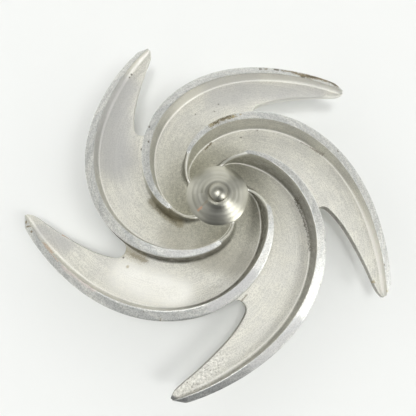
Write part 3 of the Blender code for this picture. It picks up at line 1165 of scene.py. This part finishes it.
def make_cast_grain():
    """Grain, unevenness, pinholes and rubbing streaks of a sand casting."""
    group, ins, outs = make_group("Cast grain", ["Point"], {"Grain Size": 0.0006, "Pinholes": 0.5},
                                  ["Height", "Mottle", "Speckle", "Tone"])
    point = ins["Point"]
    fine = rough_noise(group, point, math_node(group, "DIVIDE", 1.0, ins["Grain Size"]), 3.0)
    mottle = times(group, grain(group, point, CLOUDS), CLOUD_SHARE)
    mottle = times(group, streaks(group, point, *CLOUD_STREAKS), 1 - CLOUD_SHARE, mottle)
    feed(group, outs["Mottle"], ramp(group, mottle, *MOTTLE_LIMITS))
    holes = add_node(group, "ShaderNodeTexVoronoi")
    feed(group, holes.inputs["Vector"], point)
    feed(group, holes.inputs["Scale"], HOLES_PER_METRE)
    chosen = ramp(group, grain(group, point, HOLE_CLOUDS), *HOLE_LIMITS)
    hole = times(group, ramp(group, holes.outputs["Distance"], *HOLE_EDGE),
                 times(group, chosen, ins["Pinholes"]))
    height = times(group, grain(group, point, BROAD_LUMPS, 3.0), BROAD_DEPTH, fine)
    feed(group, outs["Height"], math_node(group, "SUBTRACT", height, hole))
    speckle = times(group, ramp(group, fine, *SPECKLE_LIMITS), SPECKLE_STRENGTH)
    feed(group, outs["Speckle"], math_node(group, "ADD", speckle, hole, clamp=True))
    tone = times(group, streaks(group, point, *RUBBING), RUBBING_SHARE,
                 times(group, fine, 1 - RUBBING_SHARE))
    feed(group, outs["Tone"], ramp(group, tone, *TONE_LIMITS))
    return group


CAST_GRAIN = make_cast_grain()
print("made", CAST_GRAIN.name)

# %% [markdown]
# **Turning marks.** A lathe tool leaves fine rings about the shaft axis. Their depth changes
# from ring to ring but hardly along a ring. Noise that is read mostly by the distance from the
# axis, and only a little by the angle, gives just that.

# %% Turning marks
CHANGES_PER_RADIAN = 1.5  # how fast a ring changes along itself
BROAD_RING, BROAD_LIMITS = 7.0, (0.3, 0.7)  # width in pitches, and the noise's limits


def make_turning_marks():
    """Fine rings about the shaft axis."""
    group, ins, outs = make_group("Turning marks", ["Point"], {"Pitch": 0.0005}, ["Height", "Tone"])
    x, y, _ = parts_of(group, ins["Point"])
    rings = math_node(group, "DIVIDE", from_axis(group, ins["Point"]), ins["Pitch"])
    place = vector_of(group, rings, times(group, math_node(group, "ARCTAN2", y, x), CHANGES_PER_RADIAN))
    feed(group, outs["Height"], grain(group, place, 1.0, 1.0))
    broad = grain(group, place, BROAD_RING, 3.0, 0.6)
    feed(group, outs["Tone"], ramp(group, broad, *BROAD_LIMITS))
    return group


TURNING_MARKS = make_turning_marks()
print("made", TURNING_MARKS.name)

# %% [markdown]
# ** Stain.** Rust, dirt, scuffs, painted shade and painted highlights sit at certain places: a run along an edge, a spot on a web.
# Each is a short line with a width and a ragged border. A mask painted by hand would need an
# image, while this one needs only two ends. The places are plan positions in millimetres, so a
# mark also runs down the wall below it, as dirt does.

# %% Stain
RAGGED_REACH = 5.0  # half widths by which the noise can move the border
STAIN_BORDER = (1.3, 0.3)  # half widths from the line at which a stain has gone and is full
SHORTEST = 1e-9  # keeps the division safe where both ends are the same


def make_stain():
    """A ragged mark round the line between two ends."""
    group, ins, outs = make_group("Stain", ["Point", "From", "To"],
                                  {"Width": 0.001, "Ragged": 0.5, "Noise": 0.5}, ["Mask"])
    along = vector_node(group, "SUBTRACT", ins["To"], ins["From"])
    reach = vector_node(group, "SUBTRACT", ins["Point"], ins["From"])
    length = math_node(group, "ADD", vector_node(group, "DOT_PRODUCT", along, along), SHORTEST)
    share = vector_node(group, "DOT_PRODUCT", reach, along)
    share = math_node(group, "DIVIDE", share, length, clamp=True)
    nearest = add_node(group, "ShaderNodeVectorMath", operation="SCALE")
    feed(group, nearest.inputs[0], along)
    feed(group, nearest.inputs["Scale"], share)
    gap = vector_node(group, "LENGTH", vector_node(group, "SUBTRACT", reach, nearest.outputs[0]))
    rough = times(group, math_node(group, "SUBTRACT", ins["Noise"], 0.5), ins["Ragged"])
    gap = times(group, rough, RAGGED_REACH, math_node(group, "DIVIDE", gap, ins["Width"]))
    feed(group, outs["Mask"], ramp(group, gap, *STAIN_BORDER))
    return group


STAIN = make_stain()
print("made", STAIN.name)

# %% [markdown]
# ** Corner dirt and painted shade.** Dirt and painted shade sit in the corner where a vane meets the
# plate, most of all near the nose, and darken the walls there. The group reads the number for dirt
# and painted shade that the mesh carries at each of its vertices, and breaks it up with noise. The
# numbers for painted light and for the worn crests with their painted highlight need no group: the
# cast skin reads them as they are.

# %% Corner dirt and painted shade
DIRT_CLOUDS = 0.0045
DIRT_LIMITS = (0.30, 0.62, 0.65, 1.0)  # of the noise, and how much dirt and painted shade it leaves there


def attribute(tree, name):
    """One of the numbers that the mesh carries."""
    return add_node(tree, "ShaderNodeAttribute", attribute_name=name).outputs["Fac"]


def make_corner_dirt_and_shade():
    """Dirt and painted shade in the corners at the feet of the vanes."""
    group, ins, outs = make_group("Corner dirt", ["Point"], {}, ["Mask"])
    cloud = ramp(group, grain(group, ins["Point"], DIRT_CLOUDS, 4.0, 0.65), *DIRT_LIMITS)
    feed(group, outs["Mask"], times(group, attribute(group, "dirt_and_shade"), cloud))
    return group


CORNER_DIRT_AND_SHADE = make_corner_dirt_and_shade()
print("made", CORNER_DIRT_AND_SHADE.name)

# %% [markdown]
# ## Marks
# Every mark that shows on the casting is listed here once, by the surface it is on and by its
# colour. Each has X and Y of its two ends and its half width in millimetres, how ragged it is,
# and how strong.

# %% Where the marks are
# grime specks and dark pits, and also painted shade along one wall's foot and on one tip's end
GRIME_AND_SHADE = (0.10, 0.085, 0.055, 1.0)
OLIVE = (0.25, 0.215, 0.12, 1.0)
BROWN = (0.19, 0.15, 0.085, 1.0)
RUST = (0.46, 0.24, 0.10, 1.0)
OCHRE = (0.40, 0.32, 0.15, 1.0)
ROSE = (0.56, 0.46, 0.42, 1.0)
COPPER = (0.66, 0.32, 0.18, 1.0)
# painted shade: broad greyer patches on some webs and tops
PAINTED_SHADE = (0.48, 0.48, 0.49, 1.0)
# painted shade on the end of one tip and on its top
PAINTED_TIP_SHADE = (0.21, 0.215, 0.21, 1.0)
# painted shade: the dark reflection on two sides of the nose
PAINTED_NOSE_SHADE = (0.14, 0.14, 0.125, 1.0)
PAINTED_METAL_SHADES = (PAINTED_TIP_SHADE, PAINTED_NOSE_SHADE)  # painted shade that keeps the metallic look; the other marks lie on the metal
FILM = (0.40, 0.375, 0.31, 1.0)

SKIN_MARKS = {
    # painted shade: broad greyer patches on the webs
    PAINTED_SHADE: [(-90, 34, -96, 72, 20, 0.15, 0.55), (-96, 72, -86, 110, 15, 0.15, 0.55),
           (2, 100, 36, 108, 15, 0.15, 0.4), (40, 108, 98, 106, 11, 0.15, 0.4),
           (-128, -40, -150, -28, 8, 0.25, 0.45)],
    # painted shade on the end of one tip
    PAINTED_TIP_SHADE: [(-38.1, -159.5, -31.8, -162.1, 2.0, 0.2, 1.0)],
    FILM: [(-12, -50, 24, -58, 14, 0.15, 0.3), (-40, -33, -36, -36, 13, 0.15, 0.25)],
    OCHRE: [(133.8, -72.7, 134, -73, 1.2, 0.5, 0.7), (-79, -46, -64, -53, 4.5, 0.9, 0.2),
            (-75.6, -58.7, -75.6, -58.9, 1.3, 0.4, 0.5)],
    OLIVE: [(-57, -3, -46, -14, 4.0, 0.4, 0.55), (-46, -14, -32, -23.5, 4.2, 0.4, 0.6),
            (-82, -42, -62, -52, 4.0, 0.4, 0.35)],
    BROWN: [(-9.5, 46, -4.5, 52, 0.9, 1.0, 0.9), (18.6, -88.4, 23.6, -82.6, 0.8, 0.8, 0.55),
            (78.5, 54.9, 87.6, 49.8, 0.5, 1.6, 0.4), (87.6, 49.8, 98.3, 41.8, 0.6, 1.5, 0.6),
            (-72, -49, -60, -54.5, 2.0, 0.8, 0.3)],
    # The first three are painted shade along the foot of a wall and the fifth is painted shade on a
    # tip's end; the others are grime.
    GRIME_AND_SHADE: [(69.5, -1, 75.1, -15.5, 0.9, 2.0, 0.7), (75.1, -15.5, 78.8, -31, 0.9, 2.0, 0.7),
            (78.8, -31, 79.3, -46, 0.8, 2.0, 0.6), (-52, -8, -36, -22, 1.6, 1.0, 0.45),
            (-41.5, -161.2, -34, -162.5, 1.0, 0.4, 0.6), (-18.7, 81.6, -18.7, 81.8, 0.9, 0.3, 0.6),
            (3.1, 92.5, 3.1, 92.7, 0.9, 0.3, 0.5), (-0.8, 84.9, -0.8, 85.1, 0.8, 0.3, 0.5),
            (22.8, 58.2, 23.6, 58.2, 0.8, 0.3, 0.6), (38.7, 65.6, 38.8, 65.7, 0.8, 0.3, 0.6),
            (-80.3, 124.8, -80.4, 125, 1.1, 0.3, 0.8), (-82.1, 121.5, -82.1, 121.7, 0.9, 0.3, 0.7),
            (-67.6, 46, -67.6, 46.3, 1.1, 0.3, 0.8), (-79.3, -51.2, -79.3, -51.4, 0.9, 0.3, 0.8)],
    RUST: [(-132.2, -31.4, -122, -36.4, 0.55, 0.4, 0.9), (-122, -36.4, -106, -42.4, 0.4, 0.5, 0.6),
           (-146, -38.5, -138, -47, 0.5, 0.8, 0.4)],
}
TOP_MARKS = {
    # painted shade: greyer stretches of the tops
    PAINTED_SHADE: [(26, -68, -6, -92, 5, 0.6, 0.6), (-8, -45, -40, -51, 5, 0.4, 0.4),
           (62, -104, 26, -136, 5, 0.4, 0.4)],
    # painted shade on the top at the end of one tip
    PAINTED_TIP_SHADE: [(-34.7, -160.1, -27.8, -160.9, 3.2, 0.2, 0.6)],
    OLIVE: [(-6, 60, 3, 66.5, 3.0, 1.2, 0.85), (3, 66.5, 14, 70.5, 2.8, 1.2, 0.85),
            (-80, 20, -74, 44, 1.6, 1.3, 0.35)],
    OCHRE: [(-6, 60, 12, 70, 1.4, 1.5, 0.35), (14.6, 69.8, 14.8, 70, 1.2, 0.5, 0.7),
            (21, 72.3, 21.2, 72.4, 1.1, 0.5, 0.6), (142, -80.3, 142, -80.5, 1.1, 0.5, 0.7),
            (140, -72, 141, -82, 2.5, 0.9, 0.25)],
    BROWN: [(46.8, 126.9, 49.8, 126.9, 0.9, 0.9, 0.8), (64.5, 126.2, 75.3, 125.2, 0.8, 1.2, 0.9),
            (75.3, 124.9, 84.1, 122.8, 1.6, 1.2, 1.0), (84.0, 122.4, 100.1, 120.6, 2.9, 1.0, 1.0),
            (100.1, 120.8, 110.1, 118.0, 1.9, 1.5, 1.0), (110.1, 118.0, 119.7, 113.0, 1.8, 1.5, 0.9),
            (-161.9, -20.5, -162, -22, 0.9, 0.8, 0.9), (-161, -25, -158, -24.5, 0.8, 0.9, 0.9),
            (-156.4, -29.3, -156.6, -29.7, 1.0, 0.4, 0.9), (-46.2, -99.9, -46.4, -102, 0.8, 0.6, 0.6)],
    GRIME_AND_SHADE: [(-3, 62, 12, 70.5, 1.2, 2.0, 0.85), (42.7, 126.5, 44.3, 126.6, 1.0, 0.4, 0.9),
            (57.3, 127.0, 60.6, 126.8, 1.2, 0.6, 0.95), (84.3, 120.4, 86.3, 120.3, 1.1, 0.6, 0.95),
            (90.1, 121.9, 98.1, 121.1, 1.2, 1.2, 0.95), (111.1, 117.8, 118.8, 113.7, 0.9, 1.2, 0.9),
            (-58.9, 60.8, -59, 60.2, 0.9, 0.4, 0.9), (-59.1, 45.8, -59.1, 45.4, 0.9, 0.4, 0.9),
            (142, -58.8, 142, -59, 0.8, 0.3, 0.7), (108.4, 42.1, 108.8, 41, 0.8, 0.5, 0.6)],
    ROSE: [(-126, -59, -100, -77, 2.5, 0.6, 0.5)],
    RUST: [(-143, -42, -131, -54, 0.7, 0.9, 0.6)],
}
NOSE_MARKS = {
    # painted shade: the dark reflection on two sides of the nose
    PAINTED_NOSE_SHADE: [(7, 4, 19, 11, 7, 0.1, 0.5), (-9, 17, -17, 12, 6, 0.1, 0.3)],
    BROWN: [(-12.5, -9.8, -9.5, -7, 1.3, 0.6, 0.35)],
    COPPER: [(-16.6, -13.7, -13.8, -11.6, 1.0, 0.7, 0.55)],
}
print("marks:", sum(len(places) for marks in (SKIN_MARKS, TOP_MARKS, NOSE_MARKS)
                    for places in marks.values()))

# %% Laying the marks
MARKS_START = (-0.0045, -0.0030)  # heights; lower down, on the flat back, there are no marks
MARK_GRAIN = 0.0012


def stain_mask(tree, flat, mark, noise_value):
    """Where one mark lies."""
    x, y, to_x, to_y, width, ragged = mark
    return place_group(tree, STAIN, Point=flat, From=(x / 1000, y / 1000, 0.0),
                       To=(to_x / 1000, to_y / 1000, 0.0), Width=width / 1000, Ragged=ragged,
                       Noise=noise_value)["Mask"]


def all_marks(tree, point, colour, marks):
    """Lays the marks over a colour. Returns the new colour and where the marks are."""
    flat = in_plan(tree, point)
    front = ramp(tree, parts_of(tree, point)["Z"], *MARKS_START)
    noise_value = grain(tree, point, MARK_GRAIN, 4.0, 0.72)
    covered = 0.0
    for tint, places in marks.items():
        mask = 0.0
        for *place, strength in places:
            here = times(tree, stain_mask(tree, flat, place, noise_value), strength)
            mask = math_node(tree, "MAXIMUM", here, mask)
        mask = times(tree, mask, front)
        colour = blend(tree, mask, colour, tint)
        if tint not in PAINTED_METAL_SHADES:
            covered = math_node(tree, "MAXIMUM", mask, covered)
    return colour, covered


print("the marks have", len({*SKIN_MARKS, *TOP_MARKS, *NOSE_MARKS}), "colours")

# %% [markdown]
# ## The four finishes
# The casting has four finishes: the cast skin, the turned tops of the vanes, the turned nose and
# the turned hub. They share one recipe: a metal whose colour varies a little, the marks on it,
# and a bump for what is finer than the mesh. Dirt isn't metal, so it also takes the metallic
# look away where it lies.

# %% Parts of the recipe
DIRT_METALLIC = -0.8  # change of the metallic look under dirt
DIRT_ROUGHNESS = 0.3  # change of the roughness under dirt


def shaded(tree, colour, tone, low, high):
    """The colour made darker or lighter by a tone."""
    return blend(tree, 1.0, colour, ramp(tree, tone, 0.0, 1.0, low, high), "MULTIPLY")


def surface_point(tree):
    """The place on the casting, in metres."""
    return add_node(tree, "ShaderNodeTexCoord").outputs["Object"]


def finish_metal(tree, shader, colour, covered, roughness):
    """Sets the colour, and makes the metal rougher and less metallic where marks cover it."""
    feed(tree, shader.inputs["Base Color"], colour)
    feed(tree, shader.inputs["Metallic"], times(tree, covered, DIRT_METALLIC, 1.0))
    feed(tree, shader.inputs["Roughness"], times(tree, covered, DIRT_ROUGHNESS, roughness, clamp=True))


def bump(tree, shader, height, depth):
    """Small relief from a height, in metres."""
    node = add_node(tree, "ShaderNodeBump")
    node.inputs["Distance"].default_value = depth
    node.inputs["Strength"].default_value = 1.0
    feed(tree, node.inputs["Height"], height)
    feed(tree, shader.inputs["Normal"], node.outputs[0])


# %% [markdown]
# ** Cast skin.** The skin is laid on in the order in which the real one came about: the blasted
# metal, duller and browner towards the eye, then two patches of its own, then the worn crests with
# a painted highlight and the painted light on some inner walls and feet, and last the dirt with its
# painted shade. One patch near a tip is coarsely pitted, with painted highlights on its bright
# spots, and one on a web is rubbed smooth and painted lighter as a highlight.

# %% Cast skin
SKIN_LIGHT = (0.735, 0.726, 0.672, 1.0)
SKIN_GREY = (0.645, 0.638, 0.597, 1.0)
SKIN_EYE = (0.52, 0.51, 0.435, 1.0)
# a painted highlight: the rubbed patch is painted lighter
POLISHED_HIGHLIGHT = (0.83, 0.825, 0.79, 1.0)
# worn crests, painted lighter as a highlight
CREST_WEAR_AND_SHEEN = (0.74, 0.735, 0.69, 1.0)
# painted light on walls and sides, and painted highlights at the inner feet and on the pitted patch's
# bright spots
PAINTED_LIGHT = (0.88, 0.87, 0.83, 1.0)
# dirt, and painted shade, in the corners and on the walls near the feet
WALL_DIRT_AND_SHADE = (0.072, 0.067, 0.047, 1.0)
PITTED = (-30, -157, -4, -134, 12, 0.2)  # two patches, given like the marks
# the rubbed patch is smoother, and also painted lighter as a highlight
RUBBED_SHEEN_PATCH = (-78, -66, -34, -82, 14, 0.12)
EYE_SHADE = (0.085, 0.020)  # radii between which the skin gets duller
SKIN_GRAIN, SKIN_TONE, SKIN_RELIEF = 0.0009, (0.84, 1.12), 0.00005
UNEVEN_GRAIN, UNEVEN_TONE = 0.0026, (0.66, 1.34)
# In the pitted patch the noise is highest in dark pits and lowest on bright spots, which are painted
# highlights.
LUMP_GRAIN, LUMPS_DARK, LUMPS_HIGHLIGHT = 0.0017, (0.56, 0.68, 0.0, 0.45), (0.50, 0.36, 0.0, 0.7)
# What a mask adds, and what is there without it.
PITTED_HOLES, PITTED_SPECKLE, EYE_UNEVEN = (1.6, 0.4), (0.2, 0.3), (0.75, 0.1)
SKIN_ROUGHNESS = (0.62, 0.68)
CREST_ROUGHNESS, RUBBED_ROUGHNESS = -0.15, -0.06  # changes
RUBBED_HIGHLIGHT_SHARE, CORNER_COVERS = 0.5, 0.7


def cast_skin():
    """Blasted cast stainless steel, duller and browner towards the eye."""
    material, tree, shader = new_material("cast_skin", Metallic=1.0)
    point = surface_point(tree)
    flat = in_plan(tree, point)
    pitted = stain_mask(tree, flat, PITTED, 0.5)
    marks = place_group(tree, CAST_GRAIN, Point=point, Grain_Size=SKIN_GRAIN,
                        Pinholes=times(tree, pitted, *PITTED_HOLES))
    rubbed_sheen = stain_mask(tree, flat, RUBBED_SHEEN_PATCH, marks["Tone"])
    eye = ramp(tree, from_axis(tree, point), *EYE_SHADE)
    colour = blend(tree, eye, blend(tree, marks["Mottle"], SKIN_GREY, SKIN_LIGHT), SKIN_EYE)
    uneven = shaded(tree, colour, grain(tree, point, UNEVEN_GRAIN, 4.0, 0.65), *UNEVEN_TONE)
    colour = blend(tree, times(tree, eye, *EYE_UNEVEN), colour, uneven)
    colour = shaded(tree, colour, marks["Tone"], *SKIN_TONE)
    speckle = times(tree, marks["Speckle"], times(tree, pitted, *PITTED_SPECKLE))
    lumps = grain(tree, point, LUMP_GRAIN, 2.0, 0.6)
    pits = times(tree, pitted, ramp(tree, lumps, *LUMPS_DARK))
    crest_wear_and_sheen = attribute(tree, "crest_wear_and_sheen")
    # dirt with painted shade at the feet of the vanes
    corner = place_group(tree, CORNER_DIRT_AND_SHADE, Point=point)["Mask"]
    # laid on: dark pits, painted highlights on bright spots and on the rubbed patch, worn crests with
    # painted highlight, painted light, dirt with painted shade
    for share, tint in ((math_node(tree, "MAXIMUM", pits, speckle), GRIME_AND_SHADE),
                        (times(tree, pitted, ramp(tree, lumps, *LUMPS_HIGHLIGHT)), PAINTED_LIGHT),
                        (times(tree, rubbed_sheen, RUBBED_HIGHLIGHT_SHARE), POLISHED_HIGHLIGHT), (crest_wear_and_sheen, CREST_WEAR_AND_SHEEN),
                        (attribute(tree, "pale"), PAINTED_LIGHT), (corner, WALL_DIRT_AND_SHADE)):
        colour = blend(tree, share, colour, tint)
    colour, covered = all_marks(tree, point, colour, SKIN_MARKS)
    covered = math_node(tree, "MAXIMUM", covered, times(tree, corner, CORNER_COVERS))
    roughness = ramp(tree, marks["Mottle"], 0.0, 1.0, *SKIN_ROUGHNESS)
    for mask, change in ((crest_wear_and_sheen, CREST_ROUGHNESS), (rubbed_sheen, RUBBED_ROUGHNESS)):
        roughness = times(tree, mask, change, roughness)
    finish_metal(tree, shader, colour, covered, roughness)
    bump(tree, shader, marks["Height"], SKIN_RELIEF)
    return material


# %% [markdown]
# ** Turned metal.** The tops, the nose and the hub were all cut on a lathe. They start from the
# same rings, with their own pitch and their own two colours. The tops are scuffed all over and carry
# patches of painted shade, and the nose is painted darker in its groove and has two patches of
# painted shade. The hub, which the picture doesn't show, stays plain.

# %% The three turned finishes
# Pitch of the rings, depth of their relief, and the dark and the light colour.
TOPS = (0.0006, 0.000006, (0.52, 0.53, 0.52, 1.0), (0.62, 0.62, 0.59, 1.0))
NOSE = (0.0008, 0.00001, (0.30, 0.295, 0.25, 1.0), (0.44, 0.435, 0.385, 1.0))
HUB = (0.0005, 0.00001, (0.52, 0.52, 0.50, 1.0), (0.62, 0.62, 0.60, 1.0))
TOPS_ROUGHNESS, NOSE_ROUGHNESS, HUB_ROUGHNESS = (0.38, 0.46), (0.29, 0.36), 0.32
SCUFF_GRAIN, SCUFF_HOLES, SCUFF_TONE = 0.0011, 1.5, (0.77, 1.15)
SMEAR_GRAIN, SMEAR_TONE = 0.0035, (0.86, 1.14)
NOSE_DULLS, NOSE_SKIN = 0.016, 0.6  # from this radius outwards it takes on the skin's colour
# the groove is painted darker
GROOVE_DARKENING = (0.19, 0.18, 0.135, 1.0)
GROOVE_REACH, GROOVE_STRENGTH = 0.0032, 0.55
SPECKLE_SHARE, NOSE_COVERS = 0.5, 0.5


def start_turned(name, pitch, relief, dark, light):
    """A metal with turned rings: its material, tree, shader, point, ring tone and colour."""
    material, tree, shader = new_material(name, Metallic=1.0)
    point = surface_point(tree)
    rings = place_group(tree, TURNING_MARKS, Point=point, Pitch=pitch)
    bump(tree, shader, rings["Height"], relief)
    return material, tree, shader, point, rings["Tone"], blend(tree, rings["Tone"], dark, light)


def turned_tops():
    """Turned flats, a little bluer and smoother than the skin, and scuffed all over."""
    material, tree, shader, point, tone, colour = start_turned("turned_tops", *TOPS)
    scuffs = place_group(tree, CAST_GRAIN, Point=point, Grain_Size=SCUFF_GRAIN, Pinholes=SCUFF_HOLES)
    colour = shaded(tree, colour, scuffs["Tone"], *SCUFF_TONE)
    colour = shaded(tree, colour, grain(tree, point, SMEAR_GRAIN, 2.0, 0.6), *SMEAR_TONE)
    colour = blend(tree, times(tree, scuffs["Speckle"], SPECKLE_SHARE), colour, BROWN)
    colour, covered = all_marks(tree, point, colour, TOP_MARKS)
    finish_metal(tree, shader, colour, covered, ramp(tree, tone, 0.0, 1.0, *TOPS_ROUGHNESS))
    return material


def turned_nose():
    """The nose, turned with a coarse feed."""
    material, tree, shader, point, tone, colour = start_turned("turned_nose", *NOSE)
    radius = from_axis(tree, point)
    colour = blend(tree, ramp(tree, radius, NOSE_DULLS, NOSE_RADIUS, 0.0, NOSE_SKIN), colour, SKIN_EYE)
    ring = math_node(tree, "ABSOLUTE", math_node(tree, "SUBTRACT", radius, GROOVE_RADIUS))
    groove = ramp(tree, ring, GROOVE_REACH, 0.0, 0.0, GROOVE_STRENGTH)
    colour = blend(tree, groove, colour, GROOVE_DARKENING)
    colour, covered = all_marks(tree, point, colour, NOSE_MARKS)
    finish_metal(tree, shader, colour, times(tree, covered, NOSE_COVERS),
                 ramp(tree, tone, 0.0, 1.0, *NOSE_ROUGHNESS))
    return material


def turned_hub():
    """The hub and its bore, plainly turned."""
    material, tree, shader, _, _, colour = start_turned("turned_hub", *HUB)
    feed(tree, shader.inputs["Base Color"], colour)
    feed(tree, shader.inputs["Roughness"], HUB_ROUGHNESS)
    return material


for finish in (cast_skin, turned_tops, turned_nose, turned_hub):
    impeller.data.materials.append(finish())
print("finishes:", [material.name for material in impeller.data.materials])
